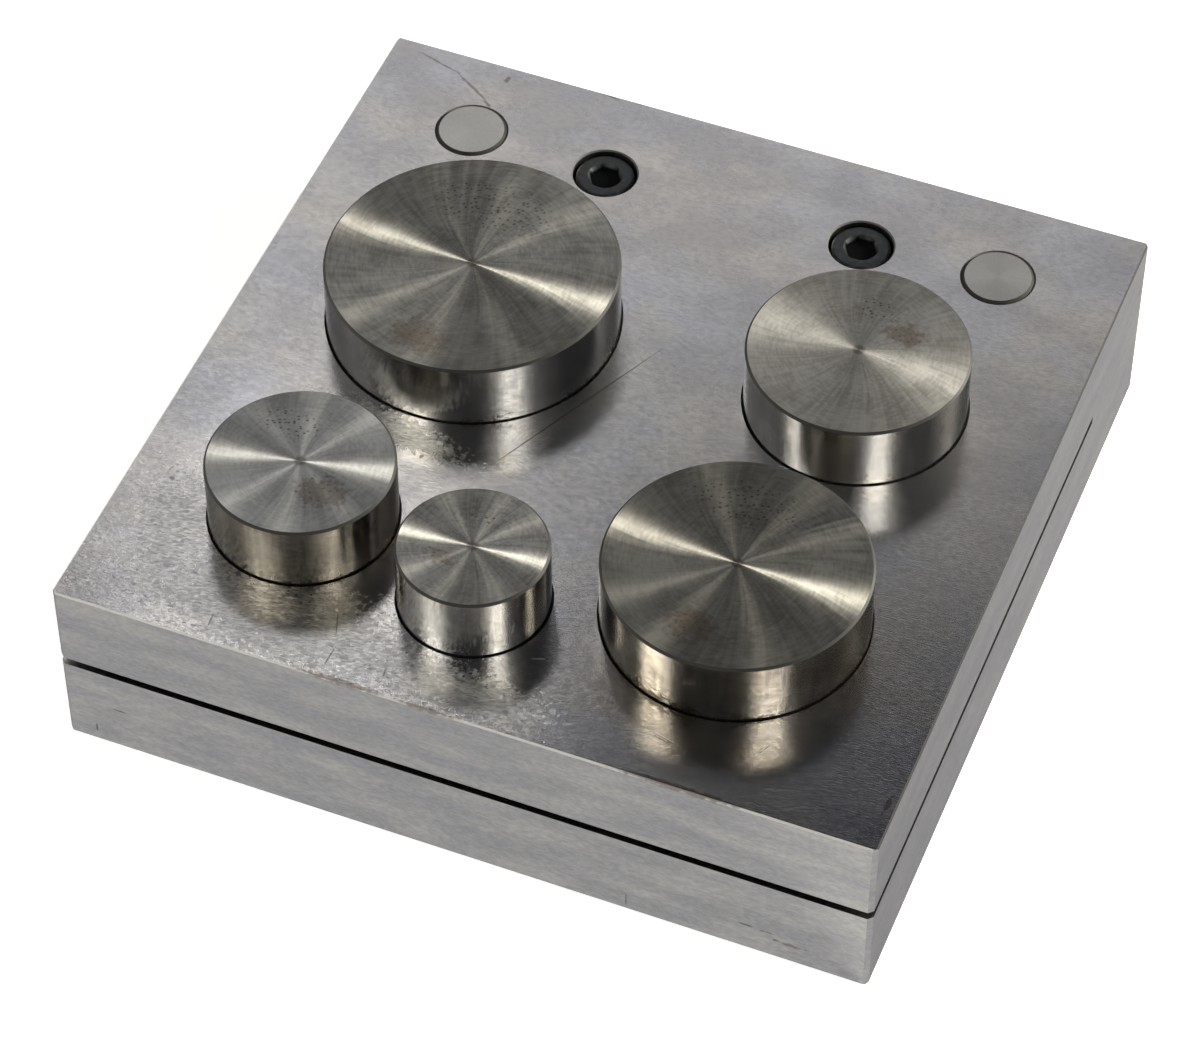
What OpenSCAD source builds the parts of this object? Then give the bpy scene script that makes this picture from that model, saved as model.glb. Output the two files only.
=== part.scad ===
// Disc cutter for sheet metal: two ground steel plates with a thin slot between them.
// Five round punches stand in guide holes that line up with die holes below.
// The origin is the centre of the lower plate's underside, and +Z points up.
// Left is -X and the open front of the slot is -Y.

/* [Plates] */
// Width of both plates, left to right
plate_w = 71.4; // [70:0.1:80]
// Depth of both plates, front to back
plate_d = 71.4; // [70:0.1:80]
// Thickness of the lower plate, which holds the die holes
die_t = 9; // [8:0.5:14]
// Thickness of the upper plate, which guides the punches
guide_t = 9; // [8:0.5:14]
// Height of the slot that the sheet metal slides into
slot_h = 0.8; // [0.4:0.1:1.6]
// Depth of the seat at the back, where the two plates touch
seat_d = 14; // [13.5:0.1:16]
// Flat on the four upright corners
corner_break = 0.4; // [0.2:0.1:2]
// Flat along the top and bottom outer edges
edge_break = 0.15; // [0.05:0.05:0.6]

/* [Punches] */
// Diameter of the 1 in punch
d_1_in = 25.4; // [24:0.1:26.4]
// Diameter of the 7/8 in punch
d_7_8_in = 22.225; // [20.6:0.1:23.4]
// Diameter of the 3/4 in punch
d_3_4_in = 19.05; // [17.5:0.1:20.5]
// Diameter of the 5/8 in punch
d_5_8_in = 15.875; // [14.3:0.1:16.6]
// Diameter of the 1/2 in punch
d_1_2_in = 12.7; // [11.1:0.1:13.5]
// Height of every punch above the upper plate when it stands on the bench
punch_reach = 6.35; // [3:0.05:12]
// Flat round the struck end of each punch
punch_break = 0.2; // [0.1:0.05:0.8]

/* [Places of the punches] */
// 1 in punch, to the right of the plates' centre
x_1_in = -15.75; // [-17.2:0.05:-13.7]
// 1 in punch, behind the plates' centre
y_1_in = 5.9; // [4.3:0.05:7.3]
// 7/8 in punch, to the right of the plates' centre
x_7_8_in = 17; // [15.8:0.05:18.8]
// 7/8 in punch, behind the plates' centre
y_7_8_in = -17.2; // [-18.7:0.05:-15.2]
// 3/4 in punch, to the right of the plates' centre
x_3_4_in = 18.15; // [16.3:0.05:20.3]
// 3/4 in punch, behind the plates' centre
y_3_4_in = 8.5; // [6.8:0.05:9.8]
// 5/8 in punch, to the right of the plates' centre
x_5_8_in = -20.05; // [-22.2:0.05:-19.3]
// 5/8 in punch, behind the plates' centre
y_5_8_in = -20.15; // [-22.2:0.05:-18.2]
// 1/2 in punch, to the right of the plates' centre
x_1_2_in = -3.4; // [-4.1:0.05:-2.1]
// 1/2 in punch, behind the plates' centre
y_1_2_in = -23.4; // [-24.7:0.05:-22.2]

/* [Guide and die holes] */
// Radial gap between a punch and its guide hole
guide_gap = 0.05; // [0.02:0.01:0.1]
// Flat round the mouth of each guide hole
mouth_break = 0.12; // [0.05:0.01:0.4]
// Radial gap between a punch and the cutting edge of its die hole
die_gap = 0.03; // [0.01:0.01:0.1]
// Depth of the cutting land, the tight upper part of each die hole
land_h = 4; // [2:0.5:7]
// Extra radius below the land, where a cut disc drops free
relief = 0.4; // [0.2:0.1:0.6]

/* [Dowel pins] */
// Diameter of the two dowel pins
dowel_d = 6.35; // [5:0.05:7]
// Centre of each dowel pin, in from its side edge
dowel_in = 10.95; // [9.5:0.05:12]
// Centre of each dowel pin, in from the back edge
dowel_back = 8.9; // [8:0.1:9.5]
// Height of each dowel pin above the upper plate
dowel_proud = 0.15; // [0:0.05:0.5]
// Height of each dowel pin's lower end above the bench
dowel_short = 0.4; // [0.2:0.1:1.5]
// Flat round both ends of each dowel pin
dowel_break = 0.25; // [0.1:0.05:0.6]
// Radial gap between a dowel pin and its holes
dowel_gap = 0.01; // [0.01:0.005:0.03]

/* [Cap screws] */
// Middle of the pair of screws, to the right of the plates' centre
screw_x = 0.375; // [-1:0.025:1]
// Distance between the two screws
screw_pitch = 24.05; // [20:0.05:26]
// Centre of each screw, in from the back edge
screw_back = 9.55; // [8.5:0.05:10.4]
// Diameter of the screw's shank
shank_d = 3; // [2.5:0.1:4]
// Length of the shank that is screwed into the lower plate
screw_bite = 6.3; // [4:0.1:7.5]
// Diameter of the screw's head
head_d = 5.5; // [5:0.1:6.4]
// Height of the screw's head
head_h = 3; // [2.5:0.1:4]
// Flat round the top of the head and the end of the shank
screw_break = 0.25; // [0.1:0.05:0.5]
// Width of the hexagonal socket across its flats
hex_w = 2.5; // [2:0.1:3]
// Depth of the hexagonal socket
hex_h = 1.6; // [1:0.1:2]
// Width by which the broken mouth of the socket passes its corners
hex_break = 0.1; // [0.05:0.05:0.3]
// Depth of the head below the upper plate's face
head_sunk = 0.3; // [0.1:0.05:1]
// Radial gap between the head and its counterbore
head_gap = 0.14; // [0.05:0.01:0.4]
// Radial gap between the shank and its hole in the upper plate
shank_gap = 0.2; // [0.1:0.05:0.4]
// Radial gap between the shank and its hole in the lower plate
thread_gap = 0.02; // [0.01:0.01:0.05]

/* [Colours] */
// Ground face of the plates
plate_colour = "#8f8f8d";
// Turned steel of the punches
punch_colour = "#a5a196";
// Dowel pins
dowel_colour = "#aaa69d";
// Blackened screws
screw_colour = "#262628";

/* [Hidden] */
$fn = 96;
// Cutting tools reach this far past a face, so that no skin is left
past = 1;
stack_t = die_t + guide_t;
punch_l = stack_t + punch_reach;
half_w = plate_w / 2;
half_d = plate_d / 2;
// Each punch as its diameter and its centre on the plates
punch_set = [
    [d_1_in, [x_1_in, y_1_in]],
    [d_7_8_in, [x_7_8_in, y_7_8_in]],
    [d_3_4_in, [x_3_4_in, y_3_4_in]],
    [d_5_8_in, [x_5_8_in, y_5_8_in]],
    [d_1_2_in, [x_1_2_in, y_1_2_in]]
];
dowel_l = stack_t + dowel_proud - dowel_short;
sides = [-1, 1];
// Centres of the dowel pins and of the screws on the plates, the left one first
dowel_at = [for (side = sides) [side * (half_w - dowel_in), half_d - dowel_back]];
screw_at = [for (side = sides) [screw_x + side * screw_pitch / 2, half_d - screw_back]];
// The head's underside is the seat of the screw in the upper plate
head_seat = stack_t - head_sunk - head_h;
shank_l = head_seat - die_t + screw_bite;
// Diameter across the corners of the screw's socket
hex_d = hex_w / cos(30);
// The socket is drilled to this diameter before its hexagon is pressed in
pilot_d = hex_w - hex_break;
// The tip angle of a common drill leaves this depth for each unit of radius
drill_tip = tan(31);

// Rectangle with its two upper corners cut at 45 degrees, standing on y = 0
module topped_outline(w, h, flat) {
    polygon([
        [-w / 2, 0], [w / 2, 0], [w / 2, h - flat],
        [w / 2 - flat, h], [flat - w / 2, h], [-w / 2, h - flat]
    ]);
}

// Rectangle with all four corners cut at 45 degrees, centred
module plan_outline(w, d, flat) {
    polygon([
        [w / 2, d / 2 - flat], [w / 2 - flat, d / 2],
        [flat - w / 2, d / 2], [-w / 2, d / 2 - flat],
        [-w / 2, flat - d / 2], [flat - w / 2, -d / 2],
        [w / 2 - flat, -d / 2], [w / 2, flat - d / 2]
    ]);
}

// Plate standing on z = 0, with its upper edges and upright corners broken
module plate_blank(t) {
    intersection() {
        linear_extrude(t) plan_outline(plate_w, plate_d, corner_break);
        rotate([90, 0, 0])
            linear_extrude(plate_d, center = true) topped_outline(plate_w, t, edge_break);
        rotate([90, 0, 90])
            linear_extrude(plate_w, center = true) topped_outline(plate_d, t, edge_break);
    }
}

// Straight hole from z = low to z = high
module hole(d, low, high) {
    translate([0, 0, low]) cylinder(d = d, h = high - low);
}

// Cone that breaks the edge of a hole of diameter d at the face z = top
module mouth(d, flat, top) {
    translate([0, 0, top - flat]) cylinder(d1 = d, d2 = d + 2 * (flat + past), h = flat + past);
}

// Round bar from z = 0 to z = l, with its ends broken by low and high
module bar(d, l, low, high) {
    rotate_extrude() polygon([
        [0, 0], [d / 2 - low, 0], [d / 2, low],
        [d / 2, l - high], [d / 2 - high, l], [0, l]
    ]);
}

// Die hole: a tight cutting land at the top and a wider relief under it
module die_hole(d) {
    hole(d + 2 * die_gap, -past, die_t + past);
    hole(d + 2 * (die_gap + relief), -past, die_t - land_h);
}

// Guide hole through the upper plate, with its mouth broken
module guide_hole(d) {
    guide_d = d + 2 * guide_gap;
    hole(guide_d, die_t - past, stack_t + past);
    mouth(guide_d, mouth_break, stack_t);
}

// Punch: the cutting end stands on z = 0, and the struck end is broken
module punch(size) {
    translate(size[1]) rotate_extrude() polygon([
        [0, 0], [size[0] / 2, 0], [size[0] / 2, punch_l - punch_break],
        [size[0] / 2 - punch_break, punch_l], [0, punch_l]
    ]);
}

// Dowel pin through both plates
module dowel_pin(at) {
    translate([at[0], at[1], dowel_short]) bar(dowel_d, dowel_l, dowel_break, dowel_break);
}

// Socket head cap screw, with a drilled and pressed hexagonal socket
module cap_screw(at) {
    translate([at[0], at[1], head_seat]) difference() {
        union() {
            bar(head_d, head_h, 0, screw_break);
            translate([0, 0, -shank_l]) bar(shank_d, shank_l, screw_break, 0);
        }
        translate([0, 0, head_h - hex_h])
            cylinder(d = hex_d, h = hex_h + past, $fn = 6);
        translate([0, 0, head_h - hex_h]) rotate_extrude() polygon([
            [0, -drill_tip * pilot_d / 2], [pilot_d / 2, 0],
            [pilot_d / 2, hex_h + past], [0, hex_h + past]
        ]);
        mouth(pilot_d, (hex_d + hex_break - pilot_d) / 2, head_h);
    }
}

module die_plate() {
    color(plate_colour) difference() {
        // The blank is turned over, because its broken edges are on the bench side
        translate([0, 0, die_t]) mirror([0, 0, 1]) plate_blank(die_t);
        for (size = punch_set) translate(size[1]) die_hole(size[0]);
        for (at = dowel_at) translate(at) hole(dowel_d + 2 * dowel_gap, -past, die_t + past);
        for (at = screw_at) translate(at) hole(shank_d + 2 * thread_gap, -past, die_t + past);
    }
}

module guide_plate() {
    color(plate_colour) difference() {
        translate([0, 0, die_t]) plate_blank(guide_t);
        // The slot is milled in from the front and both sides, and stops at the seat
        translate([-half_w - past, -half_d - past, die_t - past])
            cube([plate_w + 2 * past, plate_d - seat_d + past, slot_h + past]);
        for (size = punch_set) translate(size[1]) guide_hole(size[0]);
        for (at = dowel_at) translate(at) {
            hole(dowel_d + 2 * dowel_gap, die_t - past, stack_t + past);
            mouth(dowel_d + 2 * dowel_gap, mouth_break, stack_t);
        }
        for (at = screw_at) translate(at) {
            hole(shank_d + 2 * shank_gap, die_t - past, stack_t);
            hole(head_d + 2 * head_gap, head_seat, stack_t + past);
            mouth(head_d + 2 * head_gap, mouth_break, stack_t);
        }
    }
}

module punch_1_in() {
    color(punch_colour) punch(punch_set[0]);
}

module punch_7_8_in() {
    color(punch_colour) punch(punch_set[1]);
}

module punch_3_4_in() {
    color(punch_colour) punch(punch_set[2]);
}

module punch_5_8_in() {
    color(punch_colour) punch(punch_set[3]);
}

module punch_1_2_in() {
    color(punch_colour) punch(punch_set[4]);
}

module dowel_pin_left() {
    color(dowel_colour) dowel_pin(dowel_at[0]);
}

module dowel_pin_right() {
    color(dowel_colour) dowel_pin(dowel_at[1]);
}

module cap_screw_left() {
    color(screw_colour) cap_screw(screw_at[0]);
}

module cap_screw_right() {
    color(screw_colour) cap_screw(screw_at[1]);
}

die_plate();
guide_plate();
punch_1_in();
punch_7_8_in();
punch_3_4_in();
punch_5_8_in();
punch_1_2_in();
dowel_pin_left();
dowel_pin_right();
cap_screw_left();
cap_screw_right();
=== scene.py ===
import math
import bmesh
import bpy
from mathutils import Matrix, Vector


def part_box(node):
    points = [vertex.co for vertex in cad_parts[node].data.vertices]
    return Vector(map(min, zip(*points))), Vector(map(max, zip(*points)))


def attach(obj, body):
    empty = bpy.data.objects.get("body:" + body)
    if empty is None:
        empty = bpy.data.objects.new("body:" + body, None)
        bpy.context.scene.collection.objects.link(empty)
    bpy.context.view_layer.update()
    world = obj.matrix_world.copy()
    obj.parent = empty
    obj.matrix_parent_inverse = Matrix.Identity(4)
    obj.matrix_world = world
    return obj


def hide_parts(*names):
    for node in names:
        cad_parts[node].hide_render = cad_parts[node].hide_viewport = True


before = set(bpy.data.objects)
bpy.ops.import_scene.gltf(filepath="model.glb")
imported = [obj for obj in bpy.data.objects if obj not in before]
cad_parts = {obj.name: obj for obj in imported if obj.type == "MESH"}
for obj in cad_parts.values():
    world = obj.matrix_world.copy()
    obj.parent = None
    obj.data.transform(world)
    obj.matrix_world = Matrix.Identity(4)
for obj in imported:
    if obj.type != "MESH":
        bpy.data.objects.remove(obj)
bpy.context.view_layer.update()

# Viewpoint
# The cutter is seen from its front right and from well above, through a long lens about a
# third of a metre away. The numbers come from the corners of the plates and the punches' rims.
MM = 0.001
view_azimuth = math.radians(21.743)
view_elevation = math.radians(48.957)
view_distance = 370.5 * MM
view_target = Vector((3.19, -12.29, 18)) * MM
lens_length = 134.64
sensor_width = 36


def direction(azimuth, elevation):
    """Unit vector from the object: azimuth 0 is its front, -Y, and a quarter turn is +X."""
    level = math.cos(elevation)
    return Vector((math.sin(azimuth) * level, -math.cos(azimuth) * level, math.sin(elevation)))


def put(name, data, place=(0, 0, 0)):
    """Adds an object with this data to the scene."""
    made = bpy.data.objects.new(name, data)
    made.location = place
    bpy.context.scene.collection.objects.link(made)
    return made


to_camera = direction(view_azimuth, view_elevation)
camera = put("camera", bpy.data.cameras.new("camera"), view_target + to_camera * view_distance)
camera.rotation_mode = "QUATERNION"
camera.rotation_quaternion = to_camera.to_track_quat("Z", "Y")
camera.data.lens = lens_length
camera.data.sensor_width = sensor_width
camera.data.clip_start = 10 * MM
bpy.context.scene.camera = camera
bpy.context.scene.view_settings.view_transform = "Standard"


# Studio
# A white paper table under warm lamps: small bright ones to the front left and front right, a
# soft one at the right, and low ones in front, at the left and behind on the right. Pale panels
# stand at the left and behind, and the room overhead is dim and cool.
class Wire:
    """What comes out of a node: a number, a colour, a place or a shape."""

    def __init__(self, nodes, socket):
        self.nodes = nodes
        self.socket = socket

    def output(self, name):
        """Another output of the same node."""
        return Wire(self.nodes, self.socket.node.outputs[name])

    def maths(self, operation, *others):
        """A sum that starts with this number."""
        return self.nodes.maths(operation, self, *others)

    def __add__(self, other):
        return self.maths("ADD", other)

    def __radd__(self, other):
        return self.nodes.maths("ADD", other, self)

    def __sub__(self, other):
        return self.maths("SUBTRACT", other)

    def __rsub__(self, other):
        return self.nodes.maths("SUBTRACT", other, self)

    def __mul__(self, other):
        return self.maths("MULTIPLY", other)

    def __rmul__(self, other):
        return self.nodes.maths("MULTIPLY", other, self)

    def __truediv__(self, other):
        return self.maths("DIVIDE", other)

    def __rtruediv__(self, other):
        return self.nodes.maths("DIVIDE", other, self)

    def __pow__(self, other):
        return self.maths("POWER", other)

    def __abs__(self):
        return self.maths("ABSOLUTE")

    def rise(self, low, high):
        """0 up to low, 1 from high, and a smooth step between them."""
        return self.nodes.node(
            "ShaderNodeMapRange",
            {"interpolation_type": "SMOOTHSTEP"},
            {"Value": self, "From Min": low, "From Max": high},
        )


class Nodes:
    """A node tree that is filled from Python: a finish, the room or a repeated shape."""

    def __init__(self, tree):
        self.tree = tree
        tree.nodes.clear()

    def node(self, kind, settings, sockets, output=0):
        """A new node: its settings are made first, then its sockets are set or linked."""
        made = self.tree.nodes.new(kind)
        for name, value in settings.items():
            setattr(made, name, value)
        for name, value in sockets.items():
            if isinstance(value, Wire):
                self.tree.links.new(value.socket, made.inputs[name])
            else:
                made.inputs[name].default_value = value
        return Wire(self, made.outputs[output]) if made.outputs else None

    def maths(self, operation, *values):
        """A sum of numbers and wires, in this order."""
        return self.node("ShaderNodeMath", {"operation": operation}, dict(enumerate(values)))


class Finish(Nodes):
    """The shader nodes of a material or of the world."""

    def __init__(self, owner):
        owner.use_nodes = True
        super().__init__(owner.node_tree)
        self.owner = owner


def softbox(name, azimuth, elevation, distance, size, brightness, colour):
    """A lamp that faces the object. Angles are in degrees, and a face of brightness 1 is white."""
    lamp = bpy.data.lights.new(name, "AREA")
    lamp.shape = "RECTANGLE"
    lamp.size, lamp.size_y = size
    lamp.energy = math.pi * size[0] * size[1] * brightness
    lamp.color = colour
    away = direction(math.radians(azimuth), math.radians(elevation))
    made = put(name, lamp, view_target + away * distance)
    made.rotation_mode = "QUATERNION"
    made.rotation_quaternion = away.to_track_quat("Z", "Y")
    made.visible_camera = False


warm_white = (1, 0.96, 0.86)
softbox("lamp_front_left", -39, 48, 0.15, (0.042, 0.016), 13.5, warm_white)
softbox("lamp_front_right", 51.5, 49, 0.28, (0.068, 0.028), 12, warm_white)
softbox("lamp_right", 72, 62, 0.4, (0.13, 0.1), 0.8, warm_white)
softbox("lamp_front_low", 12, 12, 0.4, (0.34, 0.17), 1.0, warm_white)
softbox("lamp_left_low", 278, 15, 0.4, (0.027, 0.17), 26, warm_white)
softbox("lamp_behind_right", 130, 15, 0.4, (0.036, 0.12), 205, warm_white)
plain_white = (1, 0.99, 0.98)
softbox("panel_left", 262, 47, 0.4, (0.38, 0.08), 0.4, plain_white)
softbox("panel_behind", 197, 37, 0.4, (0.25, 0.11), 0.95, plain_white)
softbox("panel_behind_upper", 195, 46.5, 0.4, (0.1, 0.035), 0.35, plain_white)
softbox("panel_behind_left", 213.5, 50.5, 0.4, (0.05, 0.05), 4, plain_white)
softbox("panel_far_left", 223, 44, 0.4, (0.05, 0.084), 0.5, plain_white)

room = Finish(bpy.data.worlds.new("room"))
bpy.context.scene.world = room.owner
room_light = room.node(
    "ShaderNodeBackground", {}, {"Color": (0.85, 0.9, 1, 1), "Strength": 0.05}
)
room.node("ShaderNodeOutputWorld", {}, {"Surface": room_light})

# The table's paper sweeps up into a low wall all round, which is the horizon in low views.
# Each bend of it is given by its radius and height, in mm.
sweep = [(0, 0), (1200, 0), (1400, 25), (1520, 90), (1560, 200), (1570, 420)]
sweep_sides = 96
rings = []
for radius, height in sweep:
    for step in range(sweep_sides if radius else 1):
        turn = 2 * math.pi * step / sweep_sides
        rings.append(Vector((radius * math.cos(turn), radius * math.sin(turn), height)) * MM)
faces = []
for step in range(sweep_sides):
    after = (step + 1) % sweep_sides
    faces.append((0, 1 + step, 1 + after))
    for ring in range(len(sweep) - 2):
        low = 1 + ring * sweep_sides
        high = low + sweep_sides
        faces.append((low + step, high + step, high + after, low + after))
table_mesh = bpy.data.meshes.new("table")
table_mesh.from_pydata(rings, [], faces)
table_mesh.polygons.foreach_set("use_smooth", [True] * len(faces))
table = put("table", table_mesh)
matt_paper = Finish(bpy.data.materials.new("matt_paper"))
lit_paper = matt_paper.node("ShaderNodeBsdfDiffuse", {}, {"Color": (0.8, 0.8, 0.8, 1)})
# The paper's own glow whitens it for the camera, in metal and through glass, but lights nothing
paper_glow = 0.75
path = matt_paper.node("ShaderNodeLightPath", {}, {}, "Is Camera Ray")
seen = path + path.output("Is Glossy Ray") + path.output("Is Transmission Ray")
glow = matt_paper.node(
    "ShaderNodeEmission", {}, {"Color": (1, 1, 1, 1), "Strength": seen.rise(0, 1) * paper_glow}
)
paper_shader = matt_paper.node("ShaderNodeAddShader", {}, {0: lit_paper, 1: glow})
matt_paper.node("ShaderNodeOutputMaterial", {}, {"Surface": paper_shader})
table_mesh.materials.append(matt_paper.owner)


# Die plate
# The lower plate, surface ground from tool steel and hardened, with the five dies bored in it.
# It stands on the bench, and its top is the floor of the slot that takes the sheet.
class Steel(Finish):
    """A metal finish that is drawn on the piece's own places, in millimetres."""

    def __init__(self, name):
        super().__init__(bpy.data.materials.new(name))
        self.place = self.node("ShaderNodeTexCoord", {}, {}, "Object")
        self.facing = self.parts(self.place.output("Normal"))

    def parts(self, wire):
        """The x, y and z of a place or a direction."""
        x = self.node("ShaderNodeSeparateXYZ", {}, {"Vector": wire}, "X")
        return x, x.output("Y"), x.output("Z")

    def joined(self, x, y, z):
        """A place or a direction made from its x, y and z."""
        return self.node("ShaderNodeCombineXYZ", {}, {"X": x, "Y": y, "Z": z})

    def frame_at(self, centre, turn, size, place=None):
        """Places as read from a centre, turned about Z by degrees, in units of size. All in mm."""
        return self.node(
            "ShaderNodeMapping",
            {"vector_type": "TEXTURE"},
            {
                "Vector": place or self.place,
                "Location": Vector(centre) * MM,
                "Rotation": (0, 0, math.radians(turn)),
                "Scale": Vector(size) * MM,
            },
        )

    def noise(self, place, detail=2):
        """Soft random lumps, one to a unit, with finer ones on them."""
        sockets = {"Vector": place, "Scale": 1, "Detail": detail}
        return self.node("ShaderNodeTexNoise", {}, sockets)

    def mix(self, factor, first, second):
        """The first colour where the factor is 0, the second where it is 1."""
        sockets = {0: factor, 6: first, 7: second}
        return self.node("ShaderNodeMix", {"data_type": "RGBA"}, sockets, 2)

    def mark(self, centre, turn, size, ragged):
        """1 inside an oval of this length, breadth and height, such as a stain or a scratch.

        ragged is how far its outline wanders, from 0 to 1.
        """
        local = self.frame_at(centre, turn, Vector(size) / 2)
        away = self.node("ShaderNodeVectorMath", {"operation": "LENGTH"}, {0: local}, "Value")
        wander = self.noise(self.frame_at((0, 0, 0), turn, (0.5, 0.5, 0.5)), 3) - 0.5
        return 1 - (away + wander * 2 * ragged).rise(0.5, 1)

    def marks(self, rows):
        """1 inside any of these ovals."""
        found = self.mark(*rows[0])
        for row in rows[1:]:
            found = found.maths("MAXIMUM", self.mark(*row))
        return found


def dress(node, finish):
    """Gives a CAD node this finish on all its faces."""
    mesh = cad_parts[node].data
    mesh.materials.clear()
    mesh.materials.append(finish.owner)


# How far a face has to look sideways or up to be a side face, a broken edge or a flat top
side_face, bevel, flat_top = (0.6, 0.8), (0.4, 0.6), (0.8, 0.9)
grain_depth = 0.01 * MM
half_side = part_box("die_plate")[1].x / MM


def ground_steel(name, shift, scuff_and_light_rows, stains, scratches):
    """Ground plate: short strokes, cloudy handling marks, bright scuffs, stains and scratches.
    It carries painted light too: painted shade on the right face and in the mouths of the holes,
    a painted highlight on the outer edges, a painted sheen at the back of the top and a
    painted pool of light in the scuffs.

    shift moves the grain, so that no two plates have the same. Each scuff, stain and scratch is
    a row for Steel.mark.
    """
    steel = Steel(name)
    x, y = steel.parts(steel.frame_at((0, 0, 0), 0, (1, 1, 1)))[:2]
    facing_x, facing_z = steel.facing[0], steel.facing[2]
    on_top = facing_z.rise(*flat_top)
    # On the left and right faces the strokes run front to back
    turned = steel.frame_at((0, 0, 0), 90, (1 / MM, 1 / MM, 1 / MM))
    on_end = abs(facing_x).rise(*side_face)
    along = steel.node(
        "ShaderNodeMix", {"data_type": "VECTOR"}, {0: on_end, 4: steel.place, 5: turned}, 1
    )
    strokes = steel.noise(steel.frame_at((shift, 0, 0), 0, (0.6, 0.12, 0.12), along), 3)
    flakes = steel.noise(steel.frame_at((0, shift, 0), 0, (0.6, 0.35, 0.35), along), 4)
    cloud = steel.noise(steel.frame_at((0, shift, 0), 0, (7, 5, 4), along), 4)
    tint = steel.noise(steel.frame_at((shift, shift, 0), 0, (11, 9, 4), along), 3)
    smear = steel.noise(steel.frame_at((shift, 0, 0), 0, (8, 1, 1.8), along), 4)
    patch = steel.mix(tint.rise(0.35, 0.65), (0.52, 0.5, 0.475, 1), (0.46, 0.46, 0.485, 1))
    rubbed = steel.mix(cloud.rise(0.35, 0.65) * 0.5, patch, (0.39, 0.38, 0.39, 1))
    smeared = steel.mix(smear.rise(0.3, 0.7), (0.385, 0.38, 0.37, 1), (0.31, 0.308, 0.32, 1))
    # Painted shade: the right face is darker, and most of all towards the front
    right_face_painted_shade = facing_x.rise(*side_face) * (0.42 - y.rise(-36, 20) * 0.12)
    with_right_face_shade = steel.mix(right_face_painted_shade, smeared, (0.1, 0.1, 0.11, 1))
    ground = steel.mix(on_top, with_right_face_shade, rubbed)
    darker = steel.node(
        "ShaderNodeMix",
        {"data_type": "RGBA", "blend_type": "MULTIPLY"},
        {0: 1, 6: ground, 7: (0.8, 0.8, 0.81, 1)},
        2,
    )
    # The crests of the grain are lighter. On the top they are broader towards the back, a painted
    # sheen that lightens the back of the top
    crests = (strokes * 0.5 + flakes * 0.5).rise(0.35, 0.65)
    colour = steel.mix(crests + on_top * y.rise(-20, 20) * 0.25, darker, ground)
    chips = steel.node(
        "ShaderNodeTexVoronoi",
        {"voronoi_dimensions": "2D"},
        {"Vector": steel.frame_at((0, 0, 0), 12, (0.36, 0.13, 1)), "Scale": 1},
        "Color",
    )
    chip_bright, chip_lean, chip_tip = steel.parts(chips)
    # The scuffs are worn bright, and their brightness is partly a painted pool of light
    scuff_and_light_mask = steel.marks(scuff_and_light_rows) * on_top if scuff_and_light_rows else 0
    scuff_and_light_colour = steel.mix(scuff_and_light_mask * (chip_bright * 0.8 + 0.05), colour, (0.9, 0.88, 0.85, 1))
    # The outer edges carry bright wear and a painted highlight, apart from the right one. The
    # mouths of the holes are darkened with painted shade, a little less in the small ones at the
    # back.
    outward = abs(x).maths("MAXIMUM", abs(y)).rise(half_side - 0.5, half_side - 0.3)
    edge = facing_z.rise(*bevel) * (1 - on_top)
    small_mouth = (1 - outward) * y.rise(20, 21) * 0.12
    edge_wear_and_painted_highlight = edge * (outward * (1 - facing_x.rise(0.3, 0.5)) + small_mouth)
    # Painted shade: the mouths of the holes are dark and not metal
    mouth_painted_shade = edge - edge_wear_and_painted_highlight
    with_mouth_shade = steel.mix(mouth_painted_shade, scuff_and_light_colour, (0.02, 0.02, 0.02, 1))
    worn_and_highlit = steel.mix(edge_wear_and_painted_highlight, with_mouth_shade, (0.82, 0.81, 0.79, 1))
    stained = steel.mix(steel.marks(stains) * 0.6, worn_and_highlit, (0.12, 0.085, 0.055, 1))
    scratched = steel.mix(steel.marks(scratches) * 0.7, stained, (0.07, 0.07, 0.075, 1))
    far = y.rise(-30, 0)
    matt = cloud.rise(0.35, 0.7) * 0.04 + far * 0.06 + scuff_and_light_mask * 0.12 - 0.2
    roughness = 0.38 + edge * 0.3 + on_top * matt
    relief = (strokes * 1.1 + flakes * 0.4) * (1 - far * 0.65)
    bump = steel.node(
        "ShaderNodeBump", {}, {"Height": relief, "Distance": grain_depth, "Strength": 1}
    )
    # Each chip of a scuff leans its own way and sparkles
    leaning = steel.joined(chip_lean - 0.5, chip_tip - 0.5, 0)
    lean = steel.node(
        "ShaderNodeVectorMath", {"operation": "SCALE"}, {0: leaning, "Scale": scuff_and_light_mask * 0.09}
    )
    chipped = steel.node("ShaderNodeVectorMath", {"operation": "ADD"}, {0: bump, 1: lean})
    normal = steel.node("ShaderNodeVectorMath", {"operation": "NORMALIZE"}, {0: chipped})
    shader = steel.node(
        "ShaderNodeBsdfPrincipled",
        {},
        {
            "Base Color": scratched,
            "Metallic": 1 - mouth_painted_shade,
            "Roughness": roughness,
            "Specular Tint": (0.45, 0.45, 0.47, 1),
            "Normal": normal,
        },
    )
    steel.node("ShaderNodeOutputMaterial", {}, {"Surface": shader})
    return steel


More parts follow.
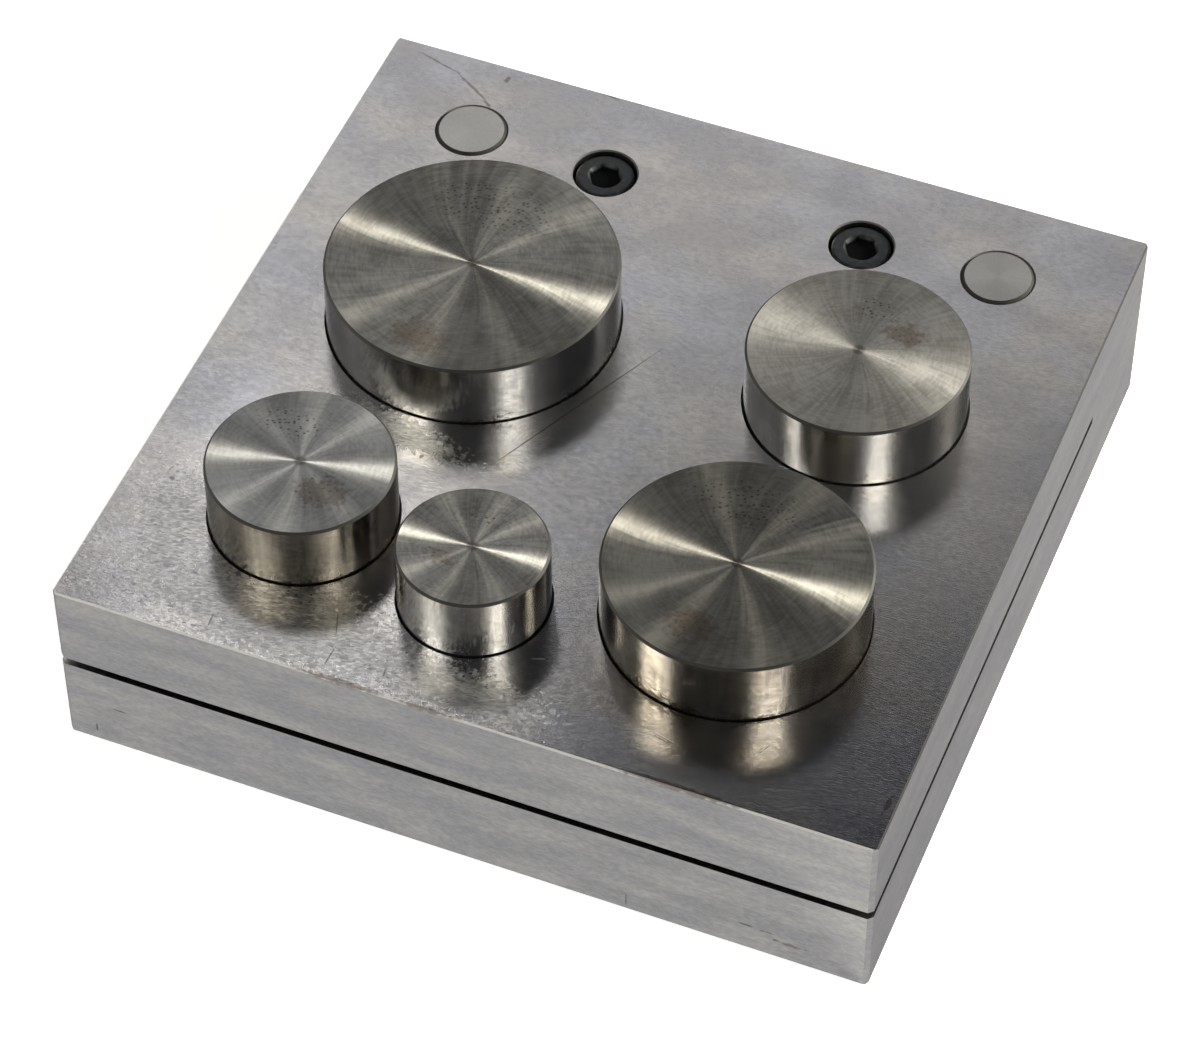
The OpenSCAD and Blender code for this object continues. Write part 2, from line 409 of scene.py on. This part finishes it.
# Each mark's centre, turn, size and raggedness. All of these are on the front face.
front = -half_side
die_stains = [((29, front, 2.2), 0, (3, 1, 0.5), 0.9), ((27, front, 3), 0, (2, 1, 0.3), 0.9)]
die_scratches = [
    ((14.8, front, 1.2), 0, (0.15, 1, 2.2), 0.4),
    ((25.2, front, 3.1), 0, (1.5, 1, 0.25), 0.6),
    ((27.8, front, 2.3), 0, (0.7, 1, 0.4), 0.6),
    ((-30.5, front, 4.8), 0, (2, 1, 0.2), 0.7),
    ((-33, front, 1.6), 0, (0.3, 1, 1.2), 0.5),
]
dress("die_plate", ground_steel("die_plate_steel", 31, [], die_stains, die_scratches))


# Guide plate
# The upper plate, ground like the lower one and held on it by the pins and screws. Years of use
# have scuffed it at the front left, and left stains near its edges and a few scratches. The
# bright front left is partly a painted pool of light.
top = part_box("guide_plate")[1].z / MM
guide_scuff_and_light_rows = [
    ((-17, -8.8, top), -8, (16, 4, 3), 1),
    ((-17, -31.5, top), -4, (36, 12, 3), 1),
    ((-29, -25, top), 10, (10, 14, 3), 1),
    ((0, -33, top), -3, (16, 6, 3), 1),
    ((16.1, -31.3, top), -12, (2.4, 0.2, 1), 0.3),
    ((3.9, -27.5, top), 20, (1.6, 0.2, 1), 0.3),
    ((24, -29.5, top), 65, (2.2, 0.15, 1), 0.3),
    ((-33.5, -8.5, top), -5, (1.6, 0.3, 1), 0.3),
]
guide_stains = [
    ((-10, -35.5, top), 0, (9, 0.6, 1), 0.6),
    ((-2.5, -35.6, top), 0, (6, 0.5, 0.8), 0.6),
    ((19, -35.5, top), 0, (13, 0.7, 1), 0.6),
    ((34.9, -31, top), 86, (2.6, 0.5, 1), 0.9),
    ((-30.7, 33.8, top), -16, (5.5, 0.25, 1), 0.9),
    ((-26.9, 32, top), -32, (4.8, 0.35, 1), 0.9),
    ((-24.8, 30.5, top), -40, (1.3, 0.4, 1), 0.6),
    ((-24.3, 34, top), 80, (1.3, 0.5, 1), 0.9),
]
guide_scratches = [
    ((-3.6, -1.1, top), 64.6, (27, 0.16, 1), 0.05),
    ((-22.3, -33.6, top), 95, (1.8, 0.2, 1), 0.3),
    ((-11.8, -33.4, top), 88, (2.4, 0.2, 1), 0.3),
    ((-7, -33.5, top), 100, (1.4, 0.2, 1), 0.3),
    ((-12.6, -30.2, top), 110, (3, 0.16, 1), 0.3),
    ((16.1, -31.5, top), -12, (2.2, 0.16, 1), 0.3),
    ((-31.8, -20.8, top), 0, (0.7, 0.5, 1), 0.3),
    ((-15.1, 35.5, top), -10, (3, 0.2, 1), 0.5),
]
guide_finish = ground_steel(
    "guide_plate_steel", 0, guide_scuff_and_light_rows, guide_stains, guide_scratches
)
dress("guide_plate", guide_finish)


# Dowel pins
# Two hardened pins ground to a quarter of an inch, which press into both plates and line them
# up. Their faced ends sit almost flush with the top.
def turned_steel(name, node, faced, side, pits, stain, rust, slant=0):
    """Turned steel: grooves round the axis, chatter marks across them and rust at the plate.

    faced and side each hold two colours, a roughness and how far the grooves draw out a
    highlight. pits and stain are ovals on the end, by centre and size from its middle. More rust
    spreads further. slant turns the grooves out of their circles, in degrees.
    """
    steel = Steel(name)
    low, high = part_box(node)
    middle = (low + high) / 2 / MM
    crown = high.z / MM

    def on_end(oval, ragged):
        """1 inside an oval on the end."""
        centre = (middle.x + oval[0], middle.y + oval[1], crown)
        return steel.mark(centre, 0, (oval[2], oval[3], 4), ragged)

    x, y, z = steel.parts(steel.frame_at((middle.x, middle.y, 0), 0, (1, 1, 1)))
    # A little is added so that nothing is divided by nought on the axis
    radius = (x * x + y * y) ** 0.5 + 0.001
    across, back = x / radius, y / radius
    # Out along the end and then down the side, so that both carry the same grooves
    reach = radius + z
    grooves = steel.noise(steel.joined(across * 5, back * 5, reach / 0.13), 2)
    rings = steel.noise(steel.joined(across * 9, back * 9, reach / 0.25 + 40), 3)
    twisted = steel.node(
        "ShaderNodeVectorRotate",
        {"rotation_type": "Z_AXIS"},
        {"Vector": steel.joined(across * 20, back * 20, reach / 6), "Angle": radius * 0.02},
    )
    chatter = steel.noise(twisted, 3)
    handling = steel.noise(steel.frame_at((5, 9, 0), 0, (3.5, 3.5, 3.5)), 4)
    end = steel.facing[2].rise(*flat_top)
    rim = steel.facing[2].rise(*bevel) * (1 - end)
    tilt = (grooves - 0.5) * (0.008 + end * 0.04) + (chatter - 0.5) * end * 0.09
    lean = steel.joined(back * tilt, across * tilt * -1, 0)
    leaning = steel.node(
        "ShaderNodeVectorMath", {"operation": "ADD"}, {0: steel.place.output("Normal"), 1: lean}
    )
    normal = steel.node("ShaderNodeVectorMath", {"operation": "NORMALIZE"}, {0: leaning})
    wear = rings * 0.35 + chatter * 0.35 + handling * 0.45
    cells = {"Vector": steel.frame_at((0, 0, 0), 33, (0.55, 0.4, 1)), "Scale": 1}
    flat = {"voronoi_dimensions": "2D"}
    nearest = steel.node("ShaderNodeTexVoronoi", flat, cells, "Distance")
    chance = steel.parts(nearest.output("Color"))[0]
    specks = (1 - nearest.rise(0.08, 0.34)) * chance.rise(0.25, 0.65)
    blots = steel.noise(steel.frame_at((0, 0, 0), 0, (0.5, 0.5, 0.3)), 4)
    at_plate = z.rise(top - 2.5, top) * (1 - z.rise(top, top + 2.5))
    rust_here = (blots * 0.45 + handling * 0.45 + at_plate * 0.18).rise(0.64 - rust, 0.74 - rust)
    rusty = rust_here * (1 - end) * (1 - rim)
    spoiled = on_end(stain, 0.9)
    dark_spots = 0
    if pits:
        centre_mark = 1 - radius.rise(0.3, 0.7)
        pitted = specks * on_end(pits, 0.5)
        dark_spots = centre_mark * 0.6 + pitted * 0.8 + spoiled * specks * 0.6
    shaders = []
    for light, dark, roughness, drawn in (side, faced):
        bare = steel.mix(wear.rise(0.42, 0.75), light, dark)
        spotted = steel.mix(dark_spots, bare, (0.08, 0.065, 0.055, 1))
        browned = steel.mix(spoiled * 0.45, spotted, (0.17, 0.12, 0.08, 1))
        # Painted shade: the broken edge round the end is dark and dull
        rim_painted_shade = steel.mix(rim, browned, (0.035, 0.034, 0.031, 1))
        colour = steel.mix(rusty * 0.8, rim_painted_shade, (0.06, 0.04, 0.022, 1))
        shaders.append(
            steel.node(
                "ShaderNodeBsdfPrincipled",
                {},
                {
                    "Base Color": colour,
                    "Metallic": 1 - rim,
                    "Roughness": roughness + rim * 0.5 + rusty * 0.15,
                    "Anisotropic": drawn,
                    "Anisotropic Rotation": 0.25 - slant / 360,
                    "Normal": normal,
                },
            )
        )
    both = steel.node("ShaderNodeMixShader", {}, {0: end, 1: shaders[0], 2: shaders[1]})
    steel.node("ShaderNodeOutputMaterial", {}, {"Surface": both})
    dress(node, steel)


for hand in ("left", "right"):
    turned_steel(
        "dowel_steel_" + hand,
        "dowel_pin_" + hand,
        faced=((0.45, 0.44, 0.42, 1), (0.39, 0.38, 0.365, 1), 0.32, 0.3),
        side=((0.38, 0.38, 0.38, 1), (0.3, 0.3, 0.3, 1), 0.3, 0.5),
        pits=None,
        stain=(0, -3.6, 1, 0.5),
        rust=-0.1,
    )


# Cap screws
# Two M3 socket head screws, rolled, knurled and blackened. They sit in counterbores and pull
# the guide plate down on the seat behind the slot.
black_oxide = Steel("black_oxide")
grime = black_oxide.noise(black_oxide.frame_at((0, 0, 0), 0, (0.5, 0.5, 0.5)), 3)
black_colour = black_oxide.mix(
    grime.rise(0.4, 0.7), (0.008, 0.0095, 0.012, 1), (0.022, 0.025, 0.031, 1)
)
black_bump = black_oxide.node(
    "ShaderNodeBump", {}, {"Height": grime, "Distance": grain_depth, "Strength": 1}
)
black_shader = black_oxide.node(
    "ShaderNodeBsdfPrincipled",
    {},
    {"Base Color": black_colour, "Roughness": 0.3 + grime * 0.2, "Normal": black_bump},
)
# Painted shade fills the sockets, so nothing shines below the top of the head
socket_painted_shade = black_oxide.node(
    "ShaderNodeBsdfPrincipled",
    {},
    {"Base Color": (0.006, 0.006, 0.007, 1), "Roughness": 0.9, "Specular IOR Level": 0.05},
)
head_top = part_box("cap_screw_left")[1].z
height = black_oxide.parts(black_oxide.place)[2]
sunk = 1 - height.rise(head_top - 0.4 * MM, head_top - 0.1 * MM)
with_socket_shade = black_oxide.node("ShaderNodeMixShader", {}, {0: sunk, 1: black_shader, 2: socket_painted_shade})
black_oxide.node("ShaderNodeOutputMaterial", {}, {"Surface": with_socket_shade})
# Sizes in mm
head_radius, head_height, head_break = 2.65, 3, 0.15
head_round, round_steps = 0.3, 4
knurl_radius, knurl_depth, knurl_ridges = 2.75, 0.13, 36
knurl_start, knurl_height = 0.3, 2.2
thread_radius, thread_pitch, thread_start = 1.5, 0.5, 0.5
core_radius, tip_radius, tip_height = 1.2, 0.85, 0.35
neck_height, neck_fillet = 0.3, 0.1
socket_flats, socket_depth = 2.5, 1.6
mouth_width, mouth_depth = 0.12, 0.3
drill_gap, drill_point, drill_depth = 0.05, 0.05, 0.7
screw_sides = 72


def circle_of(radius):
    """The radius of a circle in any direction."""
    return lambda angle: radius


def hexagon_of(flats):
    """The radius of a hexagon, given across its flats, in any direction."""
    sixth = math.pi / 3
    return lambda angle: flats / 2 / math.cos(angle % sixth - sixth / 2)


def lathe(profile, sides):
    """A closed mesh in mm: outlines at heights, joined by faces, with a fan at both ends."""
    shape = bmesh.new()
    stack = []
    for outline, height in profile:
        ring = []
        for step in range(sides):
            angle = 2 * math.pi * step / sides
            reach = outline(angle)
            ring.append(
                shape.verts.new((reach * math.cos(angle), reach * math.sin(angle), height))
            )
        stack.append(ring)
    for low, high in zip(stack, stack[1:]):
        for step in range(sides):
            after = (step + 1) % sides
            shape.faces.new((low[step], low[after], high[after], high[step]))
    for ring, height in ((stack[0], profile[0][1]), (stack[-1], profile[-1][1])):
        tip = shape.verts.new((0, 0, height))
        for step in range(sides):
            shape.faces.new((tip, ring[step], ring[(step + 1) % sides]))
    bmesh.ops.recalc_face_normals(shape, faces=shape.faces)
    mesh = bpy.data.meshes.new("turned_blank")
    shape.to_mesh(mesh)
    shape.free()
    return mesh


def rolled_blank(under_head, foot):
    """The screw before it is rolled: head with its socket, and the core of the shank."""
    crown = under_head + head_height
    profile = [
        (circle_of(tip_radius), foot),
        (circle_of(core_radius), foot + tip_height),
        (circle_of(core_radius), under_head - neck_height),
        (circle_of(thread_radius), under_head - neck_fillet),
        (circle_of(thread_radius + neck_fillet), under_head),
        (circle_of(head_radius - head_break), under_head),
        (circle_of(head_radius), under_head + head_break),
    ]
    for step in range(round_steps + 1):
        turn = step / round_steps * math.pi / 2
        reach = head_radius - head_round * (1 - math.cos(turn))
        profile.append((circle_of(reach), crown - head_round * (1 - math.sin(turn))))
    corner = socket_flats / 2 / math.cos(math.pi / 6)
    profile += [
        (circle_of(corner + mouth_width), crown),
        (hexagon_of(socket_flats), crown - mouth_depth),
        (hexagon_of(socket_flats), crown - socket_depth),
        (circle_of(socket_flats / 2 - drill_gap), crown - socket_depth),
        (circle_of(drill_point), crown - socket_depth - drill_depth),
    ]
    return lathe(profile, screw_sides)


def rolling_tree():
    """Adds what repeats on a screw: the knurled ridges of its head and the turns of its thread."""
    tree = bpy.data.node_groups.new("rolled_screw", "GeometryNodeTree")
    sockets = tree.interface
    sockets.new_socket(name="Blank", in_out="INPUT", socket_type="NodeSocketGeometry")
    for name in ("Knurl Radius", "Knurl Depth", "Knurl Foot", "Knurl Height"):
        sockets.new_socket(name=name, in_out="INPUT", socket_type="NodeSocketFloat")
    sockets.new_socket(name="Ridges", in_out="INPUT", socket_type="NodeSocketInt")
    for name in ("Thread Radius", "Thread Depth", "Pitch", "Thread Foot", "Thread Height"):
        sockets.new_socket(name=name, in_out="INPUT", socket_type="NodeSocketFloat")
    sockets.new_socket(name="Finish", in_out="INPUT", socket_type="NodeSocketMaterial")
    sockets.new_socket(name="Screw", in_out="OUTPUT", socket_type="NodeSocketGeometry")
    nodes = Nodes(tree)
    given = nodes.node("NodeGroupInput", {}, {}, "Blank")

    def swept(path, outline):
        """A solid with this outline all along a path."""
        sockets = {"Curve": path, "Profile Curve": outline, "Fill Caps": True}
        return nodes.node("GeometryNodeCurveToMesh", {}, sockets)

    def raised(height):
        """The place at this height on the axis."""
        return nodes.node("ShaderNodeCombineXYZ", {}, {"Z": height})

    outer = given.output("Knurl Radius")
    teeth = nodes.node(
        "GeometryNodeCurveStar",
        {},
        {
            "Points": given.output("Ridges"),
            "Outer Radius": outer,
            "Inner Radius": outer - given.output("Knurl Depth"),
        },
    )
    knurl_foot = given.output("Knurl Foot")
    knurl_ends = {
        "Start": raised(knurl_foot),
        "End": raised(knurl_foot + given.output("Knurl Height")),
    }
    knurl = swept(nodes.node("GeometryNodeCurvePrimitiveLine", {}, knurl_ends), teeth)
    crest = given.output("Thread Radius") - given.output("Thread Depth")
    helix = nodes.node(
        "GeometryNodeCurveSpiral",
        {},
        {
            "Resolution": 24,
            "Rotations": given.output("Thread Height") / given.output("Pitch"),
            "Start Radius": crest,
            "End Radius": crest,
            "Height": given.output("Thread Height"),
        },
    )
    upright = nodes.node("GeometryNodeSetCurveNormal", {"mode": "Z_UP"}, {"Curve": helix})
    ridge = nodes.node(
        "GeometryNodeCurvePrimitiveCircle",
        {"mode": "RADIUS"},
        {"Resolution": 4, "Radius": given.output("Thread Depth")},
    )
    thread = nodes.node(
        "GeometryNodeTransform",
        {},
        {"Geometry": swept(upright, ridge), "Translation": raised(given.output("Thread Foot"))},
    )
    joined = nodes.node("GeometryNodeJoinGeometry", {}, {"Geometry": given})
    for piece in (knurl, thread):
        tree.links.new(piece.socket, joined.socket.node.inputs["Geometry"])
    real = nodes.node("GeometryNodeRealizeInstances", {}, {"Geometry": joined})
    finished = nodes.node(
        "GeometryNodeSetMaterial", {}, {"Geometry": real, "Material": given.output("Finish")}
    )
    nodes.node("NodeGroupOutput", {}, {"Screw": finished})
    return tree


rolled_screw = rolling_tree()
for hand in ("left", "right"):
    node = "cap_screw_" + hand
    low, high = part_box(node)
    middle = (low + high) / 2
    foot, crown = low.z / MM, high.z / MM
    under_head = crown - head_height
    blank = put("blank_" + hand, rolled_blank(under_head, foot))
    rolling = blank.modifiers.new("rolling", "NODES")
    rolling.node_group = rolled_screw
    sizes = {
        "Knurl Radius": knurl_radius,
        "Knurl Depth": knurl_depth,
        "Knurl Foot": under_head + knurl_start,
        "Knurl Height": knurl_height,
        "Ridges": knurl_ridges,
        "Thread Radius": thread_radius,
        "Thread Depth": thread_pitch / 2,
        "Pitch": thread_pitch,
        "Thread Foot": foot + thread_start,
        "Thread Height": under_head - foot - 2 * thread_start,
        "Finish": black_oxide.owner,
    }
    for socket in rolled_screw.interface.items_tree:
        if socket.name in sizes:
            rolling[socket.identifier] = sizes[socket.name]
    evaluated = blank.evaluated_get(bpy.context.evaluated_depsgraph_get())
    screw_mesh = bpy.data.meshes.new_from_object(evaluated)
    bpy.data.objects.remove(blank)
    # The tree leaves an empty slot before the finish's own
    screw_mesh.materials.clear()
    screw_mesh.materials.append(black_oxide.owner)
    screw_mesh.transform(Matrix.Translation((middle.x, middle.y, 0)) @ Matrix.Scale(MM, 4))
    screw_mesh.polygons.foreach_set("use_smooth", [True] * len(screw_mesh.polygons))
    screw_mesh.set_sharp_from_angle(angle=math.radians(35))
    screw = put("socket_screw_" + hand, screw_mesh)
    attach(screw, "plates")
    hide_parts(node)


# Punches
# Five loose plugs of hardened steel, 1/2 to 1 in across by eighths. Their ends are faced on a
# lathe, which leaves the bow-tie gleam, and their sides are ground to slide in the guide holes.
light_side, dark_side = (0.57, 0.57, 0.56, 1), (0.38, 0.38, 0.375, 1)
# The rows hold what turned_steel takes, in this order
for node, faced, side, pits, stain, rust, slant in (
    (
        "punch_1_in",
        ((0.39, 0.38, 0.345, 1), (0.2, 0.195, 0.18, 1), 0.41, 1),
        (light_side, dark_side, 0.15, 0.5),
        (-1, 6.8, 15, 7),
        (-1, -9.5, 6, 5),
        0.02,
        1,
    ),
    (
        "punch_7_8_in",
        ((0.34, 0.33, 0.295, 1), (0.19, 0.183, 0.162, 1), 0.42, 1),
        ((0.52, 0.48, 0.41, 1), (0.28, 0.255, 0.21, 1), 0.14, 0.5),
        (-1.5, 6.2, 13, 6),
        (-1.2, -7.4, 5, 4),
        0.05,
        -3,
    ),
    (
        "punch_3_4_in",
        ((0.48, 0.47, 0.44, 1), (0.3, 0.29, 0.27, 1), 0.6, 0.7),
        (light_side, dark_side, 0.14, 0.5),
        (0, 5, 5, 3),
        (3, 3, 4, 3),
        -0.03,
        0,
    ),
    (
        "punch_5_8_in",
        ((0.5, 0.5, 0.49, 1), (0.31, 0.31, 0.305, 1), 0.45, 0.96),
        ((0.34, 0.32, 0.275, 1), (0.18, 0.165, 0.14, 1), 0.18, 0.5),
        (-2.5, 3.5, 7, 4),
        (3.1, -2.5, 5, 4),
        0.03,
        12,
    ),
    (
        "punch_1_2_in",
        ((0.5, 0.49, 0.455, 1), (0.25, 0.243, 0.23, 1), 0.42, 1),
        (light_side, dark_side, 0.14, 0.5),
        (0, 3, 4, 2),
        (-2, -2, 3, 2),
        -0.05,
        3,
    ),
):
    turned_steel(node + "_steel", node, faced, side, pits, stain, rust, slant)
